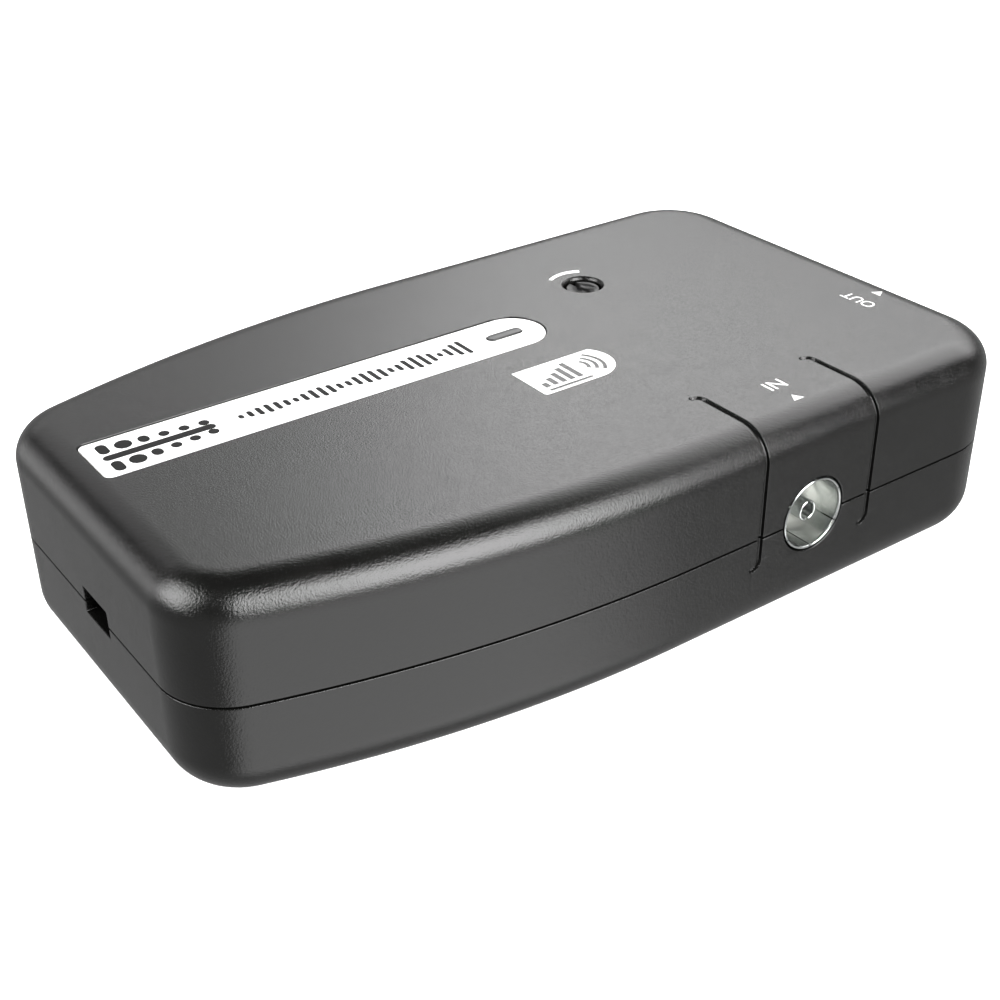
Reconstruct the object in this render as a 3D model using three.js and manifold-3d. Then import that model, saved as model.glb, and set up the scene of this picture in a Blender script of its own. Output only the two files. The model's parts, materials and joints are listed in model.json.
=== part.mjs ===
// One-way TV aerial signal booster: a two-shell moulded case with a tapered plan, a nameplate strip,
// a status light, a screwdriver gain adjuster and two coaxial aerial sockets, with its electronics inside.
// Millimetres. +X runs to the wide output end, -Y is the input socket side, +Z is up, z = 0 is the base.
import * as THREE from "three";
import { mergeVertices } from "three/addons/utils/BufferGeometryUtils.js";
import Module from "manifold-3d";

// Case: the sides run straight from the wide end to TAPER_START, then curve in to the narrow end.
const LENGTH = 125;
const WIDTH = 73.2;
const HEIGHT = 30;
const TAPER_START = 1.2;
const TAPER_RADIUS = 193.5;
const NARROW_CORNER = 9.8;
const WIDE_CORNER = 11.4;
const TOP_ROUND_OUT = 5.2;
const TOP_ROUND_RISE = 4.8;
const BASE_ROUND = 6.1;
const WALL = 2.2;
const SPLIT_Z = 14.7;
const SEAM = 0.3;
const GAP = 0.3;

// Tongue of the lower shell that locates the upper one, as insets from the outer surface.
const REBATE_INSET = 1.2;
const TONGUE_INSET = 1.5;
const TONGUE_RISE = 2;

// Aerial sockets for 9.5 mm plugs: the input faces -Y, the output faces +X.
const SOCKET_Z = 15.1;
const INPUT_X = 22.6;
const OUTPUT_Y = -14.3;
const SOCKET_HOLE_R = 5.45;
const BARREL_OUT_R = 5.15;
const BARREL_IN_R = 4.8;
const BARREL_DEPTH = 12;
const CONTACT_OUT_R = 1.475;
const CONTACT_IN_R = 1.15;
const CONTACT_RECESS = 1;
const INSULATOR_FACE = 9;
const BARREL_SLITS = 6;
const BARREL_SLIT_WIDTH = 0.24;
const BARREL_SLIT_DEPTH = 8;
const CONTACT_SLIT_WIDTH = 0.44;
const CONTACT_SLIT_DEPTH = 7;

// Two shallow channels beside the input socket, over the top edge and down past the seam.
const CHANNEL_WIDTH = 2.15;
const CHANNEL_SPREAD = 9.975;
const CHANNEL_DEPTH = 0.75;
const CHANNEL_END_Y = -23;
const CHANNEL_END_Z = 9.9;

// Mains cable inlet in the narrow end.
const INLET = { y: -1.3, z: 15.05, width: 7.2, height: 3.9 };

// Nameplate strip in the top face, with its round end towards +X.
const PLATE = { left: -57.2, right: 10.4, y: 7.35, width: 9.6, corner: 1, recess: 0.5, thick: 0.25 };
const PLATE_MARGIN = 0.1;

// Status light lens.
const LENS = { x: 4.35, length: 5.7, width: 1.6 };
const LENS_MARGIN = 0.15;

// Gain adjuster.
const GAIN = { x: 24.1, y: 14.5, mouthR: 3.23, throatR: 2.85, chamfer: 0.4, headR: 2.5, sunk: 0.6 };

// Circuit board and its fixings.
const BOARD_Z = 8;
const BOARD_THICK = 1.6;
const BOARD_TOP = BOARD_Z + BOARD_THICK;
const PART_Z = BOARD_TOP + GAP;
const BOARD_LEFT = -50;
const BOARD_RIGHT = 56;
const BOARD_HALF_WIDTH = 26;
const BOARD_POSTS = [[-44, 20], [-44, -20], [42, 22], [42, -22]];
const CASE_POSTS = [[-52, 21.5], [-52, -21.5], [53, 27], [53, -27]];
const CASE_POST_R = 4;
const POST_TOP = 15.5;
const BOARD_POST_R = 3;
const CASE_BORE_R = 1.75;
const BOARD_BORE_R = 1.45;
const SCREW_WELL_R = 3.1;
const SCREW_WELL_DEPTH = 5;

// Rating label in the base.
const RATING = { x: -8, length: 56, width: 28, corner: 2, recess: 0.6, thick: 0.25, lift: 0.05 };

const ARC_STEPS = 6;
const ROUND_STEPS = 4;
const TURN_STEPS = 24;

const wasm = await Module();
wasm.setup();

// ---- geometry helpers -------------------------------------------------------------------------

// A closed manifold-3d solid from any closed three.js geometry.
function solid(geometry) {
  const bare = new THREE.BufferGeometry();
  bare.setAttribute("position", geometry.getAttribute("position"));
  if (geometry.index) bare.setIndex(geometry.index);
  const merged = mergeVertices(bare, 1e-4);
  const corners = merged.index.array;
  const triVerts = [];
  for (let i = 0; i < corners.length; i += 3) {
    const [a, b, c] = corners.slice(i, i + 3);
    if (a !== b && b !== c && c !== a) triVerts.push(a, b, c);
  }
  return new wasm.Manifold(
    new wasm.Mesh({
      numProp: 3,
      vertProperties: merged.attributes.position.array,
      triVerts: new Uint32Array(triVerts),
    }),
  );
}

function joined(first, ...others) {
  return others.reduce((whole, other) => whole.add(other), first);
}

function cut(first, ...others) {
  return others.reduce((whole, other) => whole.subtract(other), first);
}

function arcPoints(x, y, radius, from, to, steps = ARC_STEPS) {
  const points = [];
  for (let i = 0; i <= steps; i++) {
    const angle = from + ((to - from) * i) / steps;
    points.push(new THREE.Vector2(x + radius * Math.cos(angle), y + radius * Math.sin(angle)));
  }
  return points;
}

function prism(points, low, high) {
  const shape = new THREE.Shape(points);
  const geometry = new THREE.ExtrudeGeometry(shape, { depth: high - low, bevelEnabled: false });
  return solid(geometry.translate(0, 0, low));
}

// An extrusion whose two rims are rounded inwards by `out`, over a height of `rise`.
function pillow(points, low, high, out, rise) {
  const geometry = new THREE.ExtrudeGeometry(new THREE.Shape(points), {
    depth: high - low - 2 * rise,
    bevelThickness: rise,
    bevelSize: out,
    bevelOffset: -out,
    bevelSegments: ROUND_STEPS,
  });
  return solid(geometry.translate(0, 0, low + rise));
}

function box(x0, x1, y0, y1, z0, z1) {
  const geometry = new THREE.BoxGeometry(x1 - x0, y1 - y0, z1 - z0);
  return solid(geometry.translate((x0 + x1) / 2, (y0 + y1) / 2, (z0 + z1) / 2));
}

// A solid turned about a vertical axis from [radius, height] pairs; a profile that starts and ends on
// the axis is filled, and one that closes on itself is a ring.
function turned(profile, x = 0, y = 0, steps = TURN_STEPS) {
  const points = profile.map(([radius, height]) => new THREE.Vector2(radius, height));
  const geometry = new THREE.LatheGeometry(points, steps).rotateX(Math.PI / 2);
  return solid(geometry.translate(x, y, 0));
}

function rod(radius, x, y, z0, z1, steps = TURN_STEPS) {
  return turned([[0, z0], [radius, z0], [radius, z1], [0, z1]], x, y, steps);
}

function ring(outer, inner, z0, z1, x = 0, y = 0) {
  return turned([[inner, z0], [outer, z0], [outer, z1], [inner, z1], [inner, z0]], x, y);
}

// A slot outline with two round ends, along X.
function obround(x, y, length, width) {
  const radius = width / 2;
  const reach = length / 2 - radius;
  return [
    ...arcPoints(x + reach, y, radius, -Math.PI / 2, Math.PI / 2),
    ...arcPoints(x - reach, y, radius, Math.PI / 2, 1.5 * Math.PI),
  ];
}

function roundedRectangle(x, y, length, width, corner) {
  const reachX = length / 2 - corner;
  const reachY = width / 2 - corner;
  const quarter = Math.PI / 2;
  return [
    ...arcPoints(x + reachX, y + reachY, corner, 0, quarter, 4),
    ...arcPoints(x - reachX, y + reachY, corner, quarter, 2 * quarter, 4),
    ...arcPoints(x - reachX, y - reachY, corner, 2 * quarter, 3 * quarter, 4),
    ...arcPoints(x + reachX, y - reachY, corner, 3 * quarter, 4 * quarter, 4),
  ];
}

function material(color, roughness, metalness = 0) {
  return new THREE.MeshStandardMaterial({ color, roughness, metalness });
}

function piece(name, shape, finish) {
  const mesh = shape.getMesh();
  const geometry = new THREE.BufferGeometry();
  geometry.setAttribute("position", new THREE.BufferAttribute(mesh.vertProperties, 3));
  geometry.setIndex(new THREE.BufferAttribute(mesh.triVerts, 1));
  geometry.computeVertexNormals();
  const made = new THREE.Mesh(geometry, finish);
  made.name = name;
  return made;
}

// ---- materials --------------------------------------------------------------------------------

const charcoal = material(0x3b3b38, 0.45);
const white = material(0xf4f4f2, 0.5);
const lensGrey = material(0xa9a9a6, 0.3);
const black = material(0x151515, 0.5);
const darkRotor = material(0x262624, 0.45);
const chrome = material(0xc9ccca, 0.15, 1);
const cream = material(0xe6dfc8, 0.55);
const boardGreen = material(0x1f5a35, 0.45);
const steel = material(0x9da0a3, 0.35, 1);
const tinned = material(0xb9bcbc, 0.4, 1);
const copper = material(0xb5662e, 0.35, 1);
const tape = material(0xd9b52a, 0.6);
const ferrite = material(0x2f2f33, 0.7);
const sleeveBlue = material(0x1f2f52, 0.4);
const paper = material(0xd7d8d8, 0.6);

// ---- case -------------------------------------------------------------------------------------

// Plan outline of the case, moved inwards by `inset`.
function caseOutline(inset) {
  const quarter = Math.PI / 2;
  const wideX = LENGTH / 2 - WIDE_CORNER;
  const wideY = WIDTH / 2 - WIDE_CORNER;
  const taperY = WIDTH / 2 - TAPER_RADIUS;
  const narrowX = NARROW_CORNER - LENGTH / 2;
  const narrowY = taperY + Math.sqrt((TAPER_RADIUS - NARROW_CORNER) ** 2 - (narrowX - TAPER_START) ** 2);
  const meet = Math.atan2(narrowY - taperY, narrowX - TAPER_START);
  const back = [
    ...arcPoints(wideX, wideY, WIDE_CORNER - inset, 0, quarter),
    ...arcPoints(TAPER_START, taperY, TAPER_RADIUS - inset, quarter, meet, 2 * ARC_STEPS),
    ...arcPoints(narrowX, narrowY, NARROW_CORNER - inset, meet, 2 * quarter).slice(1),
  ];
  const front = back.map((point) => new THREE.Vector2(point.x, -point.y)).reverse();
  return [...back, ...front];
}

function upperBlank(inset) {
  return pillow(caseOutline(inset), inset, HEIGHT - inset, TOP_ROUND_OUT - inset, TOP_ROUND_RISE - inset);
}

function lowerBlank(inset) {
  return pillow(caseOutline(inset), inset, HEIGHT - inset, BASE_ROUND - inset, BASE_ROUND - inset);
}

function above(z) {
  return box(-LENGTH, LENGTH, -WIDTH, WIDTH, z, 2 * HEIGHT);
}

function below(z) {
  return box(-LENGTH, LENGTH, -WIDTH, WIDTH, -HEIGHT, z);
}

// What is cut from both shells for the two sockets and the cable inlet.
function wallOpenings() {
  const reach = 2 * WALL;
  const hole = rod(SOCKET_HOLE_R, 0, 0, -reach, reach);
  const input = hole.rotate([90, 0, 0]).translate([INPUT_X, -WIDTH / 2, SOCKET_Z]);
  const output = hole.rotate([0, 90, 0]).translate([LENGTH / 2, OUTPUT_Y, SOCKET_Z]);
  const halfWidth = INLET.width / 2;
  const halfHeight = INLET.height / 2;
  const inlet = box(
    -LENGTH / 2 - reach, -LENGTH / 2 + reach,
    INLET.y - halfWidth, INLET.y + halfWidth,
    INLET.z - halfHeight, INLET.z + halfHeight,
  );
  return [input, output, inlet];
}

// One channel: all that lies outside the blank's CHANNEL_DEPTH inset, within a strip with two round ends.
function channel(blank, side) {
  const x = INPUT_X + side * CHANNEL_SPREAD;
  const radius = CHANNEL_WIDTH / 2;
  const planEnd = CHANNEL_END_Y - radius;
  const plan = [
    new THREE.Vector2(x - radius, -WIDTH),
    new THREE.Vector2(x + radius, -WIDTH),
    ...arcPoints(x, planEnd, radius, 0, Math.PI),
  ];
  const wallEnd = CHANNEL_END_Z + radius;
  const face = [
    ...arcPoints(x, wallEnd, radius, Math.PI, 2 * Math.PI),
    new THREE.Vector2(x + radius, 2 * HEIGHT),
    new THREE.Vector2(x - radius, 2 * HEIGHT),
  ];
  const strip = prism(face, 0, WIDTH).rotate([90, 0, 0]);
  return cut(prism(plan, 0, 2 * HEIGHT).intersect(strip), blank(CHANNEL_DEPTH));
}

function channels(blank) {
  return [channel(blank, -1), channel(blank, 1)];
}

function plateOutline(inset) {
  const radius = PLATE.width / 2 - inset;
  const corner = PLATE.corner;
  const left = PLATE.left + inset + corner;
  return [
    ...arcPoints(PLATE.right - PLATE.width / 2, PLATE.y, radius, -Math.PI / 2, Math.PI / 2),
    ...arcPoints(left, PLATE.y + radius - corner, corner, Math.PI / 2, Math.PI, 4),
    ...arcPoints(left, PLATE.y - radius + corner, corner, Math.PI, 1.5 * Math.PI, 4),
  ];
}

function lensOutline(margin) {
  return obround(LENS.x, PLATE.y, LENS.length + 2 * margin, LENS.width + 2 * margin);
}

function upperShell() {
  const seam = SPLIT_Z + SEAM / 2;
  const hollow = cut(upperBlank(0), upperBlank(WALL), below(seam));
  const rebate = prism(caseOutline(REBATE_INSET), SPLIT_Z, SPLIT_Z + TONGUE_RISE + GAP);
  const bosses = CASE_POSTS.map(([x, y]) => rod(CASE_POST_R - 0.5, x, y, POST_TOP + GAP, HEIGHT - 1, 16));
  const pilots = CASE_POSTS.map(([x, y]) => rod(CASE_BORE_R, x, y, SPLIT_Z, HEIGHT - 4, 12));
  const throat = turned(
    [
      [0, HEIGHT - 2 * WALL],
      [GAIN.throatR, HEIGHT - 2 * WALL],
      [GAIN.throatR, HEIGHT - GAIN.chamfer],
      [GAIN.mouthR, HEIGHT],
      [GAIN.mouthR, HEIGHT + 1],
      [0, HEIGHT + 1],
    ],
    GAIN.x,
    GAIN.y,
  );
  return cut(
    joined(cut(hollow, rebate), ...bosses),
    ...pilots,
    throat,
    prism(plateOutline(0), HEIGHT - PLATE.recess, HEIGHT + 1),
    prism(lensOutline(LENS_MARGIN), HEIGHT - 2 * WALL, HEIGHT + 1),
    ...wallOpenings(),
    ...channels(upperBlank),
  );
}

function lowerShell() {
  const seam = SPLIT_Z - SEAM / 2;
  const tray = cut(lowerBlank(0), lowerBlank(WALL), above(seam));
  const tongue = cut(
    prism(caseOutline(TONGUE_INSET), seam - 1, SPLIT_Z + TONGUE_RISE),
    prism(caseOutline(WALL), 0, HEIGHT),
  );
  const casePosts = CASE_POSTS.map(([x, y]) => rod(CASE_POST_R, x, y, 1, POST_TOP, 16));
  const boardPosts = BOARD_POSTS.map(([x, y]) => rod(BOARD_POST_R, x, y, 1, BOARD_Z - GAP, 16));
  const wells = CASE_POSTS.map(([x, y]) => rod(SCREW_WELL_R, x, y, -1, SCREW_WELL_DEPTH, 20));
  const bores = CASE_POSTS.map(([x, y]) => rod(CASE_BORE_R, x, y, 0, HEIGHT, 12));
  const pilots = BOARD_POSTS.map(([x, y]) => rod(BOARD_BORE_R, x, y, 3, BOARD_Z, 12));
  const label = roundedRectangle(RATING.x, 0, RATING.length, RATING.width, RATING.corner);
  return cut(
    joined(tray, tongue, ...casePosts, ...boardPosts),
    ...wells,
    ...bores,
    ...pilots,
    prism(label, -1, RATING.recess),
    ...wallOpenings(),
    ...channels(lowerBlank),
  );
}

function nameplate() {
  const low = HEIGHT - PLATE.recess + 0.05;
  return cut(
    prism(plateOutline(PLATE_MARGIN), low, low + PLATE.thick),
    prism(lensOutline(LENS_MARGIN), low - 1, HEIGHT + 1),
  );
}

function ratingLabel() {
  const outline = roundedRectangle(
    RATING.x, 0,
    RATING.length - 2 * PLATE_MARGIN, RATING.width - 2 * PLATE_MARGIN,
    RATING.corner,
  );
  return prism(outline, RATING.lift, RATING.lift + RATING.thick);
}

// Light pipe: the lens in the nameplate, a flange under the top wall and a stem down to the lamp.
function ledLens() {
  const underWall = HEIGHT - WALL - GAP;
  const stemLow = PART_Z + 7.3;
  return joined(
    prism(lensOutline(0), underWall - 0.5, HEIGHT - 0.02),
    prism(lensOutline(1), underWall - 1, underWall),
    prism(obround(LENS.x, PLATE.y, LENS.length - 0.6, LENS.width), stemLow, underWall - 0.5),
  );
}

function statusLed() {
  const profile = [
    [0, PART_Z], [2.9, PART_Z], [2.9, PART_Z + 1], [2.5, PART_Z + 1], [2.5, PART_Z + 4],
    [2.2, PART_Z + 5.4], [1.4, PART_Z + 6.4], [0, PART_Z + 6.8],
  ];
  return turned(profile, LENS.x, PLATE.y);
}

// A cross-shaped recess from z = low to high.
function crossRecess(x, y, low, high) {
  const reach = 1.7;
  const halfSlot = 0.35;
  return joined(
    box(x - reach, x + reach, y - halfSlot, y + halfSlot, low, high),
    box(x - halfSlot, x + halfSlot, y - reach, y + reach, low, high),
  );
}

// Screws from below: the heads sit in the wells and the shanks reach up into the upper shell's bosses.
function caseScrew([x, y]) {
  const headHigh = SCREW_WELL_DEPTH - GAP;
  const headLow = headHigh - 2.2;
  const head = rod(SCREW_WELL_R - GAP, x, y, headLow, headHigh, 20);
  const shank = rod(CASE_BORE_R - GAP, x, y, headHigh - 0.5, HEIGHT - 6, 10);
  return cut(joined(head, shank), crossRecess(x, y, headLow - 1, headLow + 1.2));
}

function boardScrew([x, y]) {
  const headLow = BOARD_TOP + GAP;
  const headHigh = headLow + 1.8;
  const head = rod(2.5, x, y, headLow, headHigh, 20);
  const shank = rod(BOARD_BORE_R - GAP, x, y, BOARD_Z / 2, headLow + 0.5, 10);
  return cut(joined(head, shank), crossRecess(x, y, headHigh - 1, headHigh + 1));
}

// ---- gain adjuster ----------------------------------------------------------------------------

// Arrow-shaped screwdriver recess: a slot right across the head, along Y, and an arrowhead towards +Y.
const RECESS = { depth: 0.7, slotHalf: 0.55, headHalf: 1.5, headTail: -0.75, headTip: 1.85 };

function arrowRecess(face) {
  const { depth, slotHalf, headHalf, headTail, headTip } = RECESS;
  const arrowhead = [
    new THREE.Vector2(-headHalf, headTail),
    new THREE.Vector2(headHalf, headTail),
    new THREE.Vector2(0, headTip),
  ];
  const reach = GAIN.headR + 0.5;
  const slot = box(-slotHalf, slotHalf, -reach, reach, face - depth, face + 1);
  return joined(slot, prism(arrowhead, face - depth, face + 1)).translate([GAIN.x, GAIN.y, 0]);
}

// Spindle: a slotted head in the case hole, a collar under the top wall and a shaft into the rotor.
function gainSpindle() {
  const face = HEIGHT - GAIN.sunk;
  const collarTop = HEIGHT - WALL - GAP;
  const profile = [
    [0, PART_Z + 2], [1.2, PART_Z + 2], [1.2, 17], [2, 17], [2, collarTop - 2], [3.6, collarTop - 2],
    [3.6, collarTop], [GAIN.headR, collarTop], [GAIN.headR, face - 0.15], [GAIN.headR - 0.15, face], [0, face],
  ];
  return cut(turned(profile, GAIN.x, GAIN.y), arrowRecess(face));
}

function trimmerRotor() {
  return ring(3.2, 1.5, PART_Z + 1, PART_Z + 4.3, GAIN.x, GAIN.y);
}

function trimmerBody() {
  const reach = 5;
  return cut(
    box(GAIN.x - reach, GAIN.x + reach, GAIN.y - reach, GAIN.y + reach, PART_Z, PART_Z + 4),
    rod(3.6, GAIN.x, GAIN.y, PART_Z + 0.7, PART_Z + 6),
  );
}

// ---- aerial sockets, built with their axis along Z, the mouth at z = 0 and the depth towards +Z -----

function socketBarrel() {
  const profile = [
    [BARREL_IN_R, 0], [BARREL_IN_R, BARREL_DEPTH], [BARREL_OUT_R, BARREL_DEPTH], [BARREL_OUT_R, 4.2],
    [6.5, 4.2], [6.5, WALL + 0.4], [BARREL_OUT_R, WALL + 0.4], [BARREL_OUT_R, 0], [BARREL_IN_R, 0],
  ];
  const half = BARREL_SLIT_WIDTH / 2;
  const slit = box(BARREL_IN_R - 0.5, BARREL_OUT_R + 0.2, -half, half, -1, BARREL_SLIT_DEPTH);
  const slits = [];
  for (let i = 0; i < BARREL_SLITS; i++) {
    slits.push(slit.rotate([0, 0, ((i + 0.5) * 360) / BARREL_SLITS]));
  }
  return cut(turned(profile.reverse()), ...slits);
}

function socketInsulator() {
  return ring(BARREL_IN_R - GAP, CONTACT_OUT_R + GAP, INSULATOR_FACE, BARREL_DEPTH);
}

// Split tube that grips the plug's pin, with a tail down to the circuit board.
function socketContact() {
  const profile = [
    [0, BARREL_DEPTH + 1.4], [CONTACT_OUT_R, BARREL_DEPTH + 1.4], [CONTACT_OUT_R, CONTACT_RECESS],
    [CONTACT_IN_R, CONTACT_RECESS], [CONTACT_IN_R, 8], [0, 8],
  ];
  const half = CONTACT_SLIT_WIDTH / 2;
  const slit = box(-half, half, -BARREL_IN_R, BARREL_IN_R, 0, CONTACT_SLIT_DEPTH);
  const tail = box(-0.6, 0.6, PART_Z - SOCKET_Z, 0, BARREL_DEPTH + 0.4, BARREL_DEPTH + 1.2);
  return joined(cut(turned(profile.reverse()), slit), tail);
}

function socket(name, x, y, turn) {
  const group = new THREE.Group();
  group.add(
    piece(name + "_socket_shell", socketBarrel(), chrome),
    piece(name + "_socket_insulator", socketInsulator(), cream),
    piece(name + "_socket_contact", socketContact(), chrome),
  );
  group.position.set(x, y, SOCKET_Z);
  group.rotation.set(Math.PI / 2, 0, turn, "ZYX");
  return group;
}

// ---- electronics ------------------------------------------------------------------------------

function circuitBoard() {
  const plate = box(BOARD_LEFT, BOARD_RIGHT, -BOARD_HALF_WIDTH, BOARD_HALF_WIDTH, BOARD_Z, BOARD_TOP);
  const notches = CASE_POSTS.map(([x, y]) => rod(CASE_POST_R + 0.6, x, y, BOARD_Z - 1, BOARD_TOP + 1, 16));
  const holes = BOARD_POSTS.map(([x, y]) => rod(BOARD_BORE_R, x, y, BOARD_Z - 1, BOARD_TOP + 1, 12));
  return cut(plate, ...notches, ...holes);
}

const SHIELD = { x0: 9, x1: 38, y0: -19, y1: 5, top: 17.5, sheet: 0.4, partition: 23 };

function shieldFrame() {
  const { x0, x1, y0, y1, top, sheet, partition } = SHIELD;
  const inner = box(x0 + sheet, x1 - sheet, y0 + sheet, y1 - sheet, PART_Z - 1, top + 1);
  const wall = box(partition, partition + sheet, y0 + sheet / 2, y1 - sheet / 2, PART_Z, top - 1);
  return joined(cut(box(x0, x1, y0, y1, PART_Z, top), inner), wall);
}

function shieldLid() {
  const { x0, x1, y0, y1, top, sheet } = SHIELD;
  const reach = GAP + sheet;
  return cut(
    box(x0 - reach, x1 + reach, y0 - reach, y1 + reach, top - 2, top + reach),
    box(x0 - GAP, x1 + GAP, y0 - GAP, y1 + GAP, top - 3, top + GAP),
  );
}

// Mains transformer: its laminations lie flat, with the winding round the centre leg, along Y.
const TRANSFORMER = {
  x: -24, z: 18.5, halfX: 16, halfY: 13.5, coreHalfZ: 5, legHalf: 4.3, windowOut: 11.7, windowY: 9.2,
};

function transformerCore() {
  const { x, z, halfX, halfY, coreHalfZ, legHalf, windowOut, windowY } = TRANSFORMER;
  const stack = box(x - halfX, x + halfX, -halfY, halfY, z - coreHalfZ, z + coreHalfZ);
  const windows = [-1, 1].map((side) => {
    const near = x + side * legHalf;
    const far = x + side * windowOut;
    return box(Math.min(near, far), Math.max(near, far), -windowY, windowY, z - halfX, z + halfX);
  });
  return cut(stack, ...windows);
}

// A rectangular tube round the centre leg, along Y.
function sleeve(outX, outZ, inX, inZ, y0, y1) {
  const { x, z } = TRANSFORMER;
  return cut(
    box(x - outX, x + outX, y0, y1, z - outZ, z + outZ),
    box(x - inX, x + inX, y0 - 1, y1 + 1, z - inZ, z + inZ),
  );
}

const BOBBIN = { wall: 0.9, end: 8.8, flange: 0.8, flangeX: 11.2, flangeZ: 8.5 };

function transformerBobbin() {
  const inX = TRANSFORMER.legHalf + GAP;
  const inZ = TRANSFORMER.coreHalfZ + GAP;
  const { wall, end, flange, flangeX, flangeZ } = BOBBIN;
  const tube = sleeve(inX + wall, inZ + wall, inX, inZ, -end, end);
  const flanges = [-end, -flange / 2, end - flange].map((y) =>
    sleeve(flangeX, flangeZ, inX, inZ, y, y + flange),
  );
  return joined(tube, ...flanges);
}

// One half of the winding, between an end flange of the bobbin and its middle one.
function winding(side) {
  const inX = TRANSFORMER.legHalf + 2 * GAP + BOBBIN.wall;
  const inZ = TRANSFORMER.coreHalfZ + 2 * GAP + BOBBIN.wall;
  const near = BOBBIN.flange / 2 + GAP;
  const far = BOBBIN.end - BOBBIN.flange - GAP;
  const ring = sleeve(BOBBIN.flangeX - 0.3, BOBBIN.flangeZ - 0.5, inX, inZ, near, far);
  return side > 0 ? ring : ring.mirror([0, 1, 0]);
}

function capacitor(x, y, radius, height) {
  const top = PART_Z + height;
  const profile = [
    [0, PART_Z], [radius - 0.3, PART_Z], [radius, PART_Z + 0.4], [radius, PART_Z + 1.6],
    [radius - 0.4, PART_Z + 2], [radius, PART_Z + 2.4], [radius, top - 0.5], [radius - 0.5, top], [0, top],
  ];
  return turned(profile, x, y, 16);
}

const REGULATOR = { x: 13, y: 21.5, halfX: 5, halfY: 2.2, body: 9, tabTop: 15, tabY: 0.9, holeR: 1.8 };

function regulator() {
  const { x, y, halfX, halfY, body, tabTop, tabY, holeR } = REGULATOR;
  const block = box(x - halfX, x + halfX, y - halfY, y + halfY, PART_Z, PART_Z + body);
  const tab = box(x - halfX, x + halfX, y + tabY, y + halfY, PART_Z + body - 1, PART_Z + tabTop);
  const hole = rod(holeR, 0, 0, -halfX, halfX, 20).rotate([90, 0, 0]);
  return cut(joined(block, tab), hole.translate([x, y, PART_Z + (body + tabTop) / 2]));
}

const DIODE = { x: 0, firstY: -6, pitch: 4.2, r: 1.35, halfLength: 2.6, leadR: 0.4, leadEnd: 5, lift: 1.5 };

// Axial diode lying along X, leads included.
function diode(index) {
  const { x, firstY, pitch, r, halfLength, leadR, leadEnd, lift } = DIODE;
  const profile = [
    [0, -leadEnd], [leadR, -leadEnd], [leadR, -halfLength], [r, -halfLength],
    [r, halfLength], [leadR, halfLength], [leadR, leadEnd], [0, leadEnd],
  ];
  const upright = turned(profile, 0, 0, 12);
  return upright.rotate([0, 90, 0]).translate([x, firstY - pitch * index, PART_Z + lift]);
}

const TERMINAL = {
  x0: -49, x1: -42.5, y: -1.3, halfY: 5.9, height: 9, spacing: 5.8, mouthHalf: 1.6, shaftX: -45.6,
};

// Two-way terminal block: a wire mouth and a screw shaft for each way.
function mainsTerminal() {
  const { x0, x1, y, halfY, height, spacing, mouthHalf, shaftX } = TERMINAL;
  const block = box(x0, x1, y - halfY, y + halfY, PART_Z, PART_Z + height);
  const ways = [y - spacing / 2, y + spacing / 2];
  const mouths = ways.map((wayY) =>
    box(x0 - 1, x0 + 3, wayY - mouthHalf, wayY + mouthHalf, PART_Z + 1, PART_Z + height / 2),
  );
  const shafts = ways.map((wayY) => rod(1.5, shaftX, wayY, PART_Z + 5, PART_Z + height + 1, 20));
  return cut(block, ...mouths, ...shafts);
}

// Round transistor can with one flat side.
function transistor() {
  const plan = arcPoints(17, -7, 2.4, -0.3 * Math.PI, 1.3 * Math.PI, 12);
  return prism(plan, PART_Z, PART_Z + 4.8);
}

const BALUN = { x: 30, y: -7, halfX: 3.5, halfY: 3, height: 4, spacing: 3.2, holeR: 0.85 };

// Twin-hole ferrite block, with its holes along Y.
function ferriteBalun() {
  const { x, y, halfX, halfY, height, spacing, holeR } = BALUN;
  const block = box(x - halfX, x + halfX, y - halfY, y + halfY, PART_Z, PART_Z + height);
  const holes = [x - spacing / 2, x + spacing / 2].map((holeX) =>
    rod(holeR, 0, 0, -2 * halfY, 2 * halfY, 16).rotate([90, 0, 0]).translate([holeX, y, PART_Z + height / 2]),
  );
  return cut(block, ...holes);
}

function filterChoke() {
  return ring(3, 1.4, PART_Z, PART_Z + 3, 16, 0);
}

// ---- assembly ---------------------------------------------------------------------------------

const booster = new THREE.Group();
booster.name = "tv_aerial_signal_booster";

booster.add(
  piece("upper_shell", upperShell(), charcoal),
  piece("lower_shell", lowerShell(), charcoal),
  piece("nameplate", nameplate(), white),
  piece("rating_label", ratingLabel(), paper),
  piece("led_lens", ledLens(), lensGrey),
  piece("status_led", statusLed(), lensGrey),
  piece("gain_spindle", gainSpindle(), darkRotor),
  piece("trimmer_rotor", trimmerRotor(), white),
  piece("trimmer_body", trimmerBody(), black),
  socket("input", INPUT_X, -WIDTH / 2, Math.PI),
  socket("output", LENGTH / 2, OUTPUT_Y, -Math.PI / 2),
  piece("circuit_board", circuitBoard(), boardGreen),
  piece("shield_frame", shieldFrame(), tinned),
  piece("shield_lid", shieldLid(), tinned),
  piece("transformer_core", transformerCore(), steel),
  piece("transformer_bobbin", transformerBobbin(), black),
  piece("primary_winding", winding(-1), tape),
  piece("secondary_winding", winding(1), copper),
  piece("smoothing_capacitor", capacitor(2, 20, 5, 15), sleeveBlue),
  piece("output_capacitor", capacitor(36, 16, 3.15, 11), sleeveBlue),
  piece("voltage_regulator", regulator(), black),
  piece("mains_fuse", capacitor(-45.5, 10.5, 3.2, 7), paper),
  piece("mains_terminal", mainsTerminal(), black),
  piece("amplifier_transistor", transistor(), black),
  piece("ferrite_balun", ferriteBalun(), ferrite),
  piece("filter_choke", filterChoke(), ferrite),
);

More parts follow.
